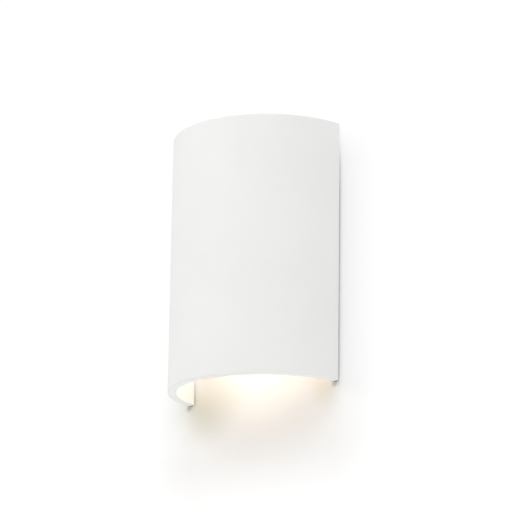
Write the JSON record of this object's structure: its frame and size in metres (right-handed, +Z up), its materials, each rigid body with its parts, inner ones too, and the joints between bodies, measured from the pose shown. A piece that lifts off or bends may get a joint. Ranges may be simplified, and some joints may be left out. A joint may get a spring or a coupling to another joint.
{
  "type": "wall light",
  "caption": "Half-round white plaster wall light, open at top and bottom, on a hidden steel wall plate with an upward and a downward lamp.",
  "frame": {"origin": "on the wall plane, at the centre of the two wall-screw slots", "axes": "+Y into the wall, out of the plate's back face; +Z up, along the shade's height; +X to the right for somebody facing the wall"},
  "size_m": [0.1498, 0.07, 0.2],
  "materials": {
    "plaster": "matte",
    "brass": "satin",
    "nylon": "matte",
    "zinc_steel": "satin",
    "screw_steel": "satin",
    "tinned_lug": "satin",
    "pin_steel": "satin",
    "black_rubber": "matte",
    "grey_foam": "matte",
    "porcelain": "satin",
    "block_plastic": "satin",
    "lamp_plastic": "satin",
    "frosted_glass": "matte",
    "strip_ceramic": "matte",
    "chip_phosphor": "satin",
    "live_sleeve": "satin",
    "neutral_sleeve": "satin",
    "earth_sleeve": "satin"
  },
  "bodies": {
    "fixture": {"wall_plate": "zinc_steel", "cable_grommet": "black_rubber", "shade_studs": "screw_steel", "stud_spacers": "nylon", "lamp_bracket": "zinc_steel", "bracket_screws": "screw_steel", "upper_lampholder": "porcelain", "lower_lampholder": "porcelain", "upper_contacts": "brass", "lower_contacts": "brass", "holder_screws": "screw_steel", "holder_washers": "screw_steel", "holder_nuts": "screw_steel", "terminal_block": "block_plastic", "terminal_tubes": "brass", "terminal_screws": "screw_steel", "block_screws": "screw_steel", "earth_lug": "tinned_lug", "earth_lock_washer": "screw_steel", "earth_screw": "screw_steel", "earth_wire": "earth_sleeve", "upper_live_lead": "live_sleeve", "lower_live_lead": "live_sleeve", "upper_neutral_lead": "neutral_sleeve", "lower_neutral_lead": "neutral_sleeve"},
    "shade": {"plaster_shade": "plaster", "lug_bushes": "brass", "nut_washers": "nylon", "edge_seals": "grey_foam"},
    "left_nut": {"thumb_nut_left": "brass"},
    "right_nut": {"thumb_nut_right": "brass"},
    "upper_lamp": {"upper_lamp_base": "lamp_plastic", "upper_lamp_glass": "frosted_glass", "upper_lamp_strip": "strip_ceramic", "upper_lamp_chips": "chip_phosphor", "upper_lamp_pins": "pin_steel"},
    "lower_lamp": {"lower_lamp_base": "lamp_plastic", "lower_lamp_glass": "frosted_glass", "lower_lamp_strip": "strip_ceramic", "lower_lamp_chips": "chip_phosphor", "lower_lamp_pins": "pin_steel"}
  },
  "joints": [
    {"name": "shade_pull", "type": "slide", "parent": "fixture", "child": "shade", "axis": [0, -1, 0], "range_m": [0, 0.06]},
    {"name": "left_nut_turn", "type": "hinge", "parent": "shade", "child": "left_nut", "pos_m": [-0.05, -0.01935, 0], "axis": [0, 1, 0], "continuous": true},
    {"name": "right_nut_turn", "type": "hinge", "parent": "shade", "child": "right_nut", "pos_m": [0.05, -0.01935, 0], "axis": [0, 1, 0], "continuous": true},
    {"name": "upper_lamp_pull", "type": "slide", "parent": "fixture", "child": "upper_lamp", "axis": [0, 0, 1], "range_m": [0, 0.03]},
    {"name": "lower_lamp_pull", "type": "slide", "parent": "fixture", "child": "lower_lamp", "axis": [0, 0, -1], "range_m": [0, 0.03]}
  ]
}
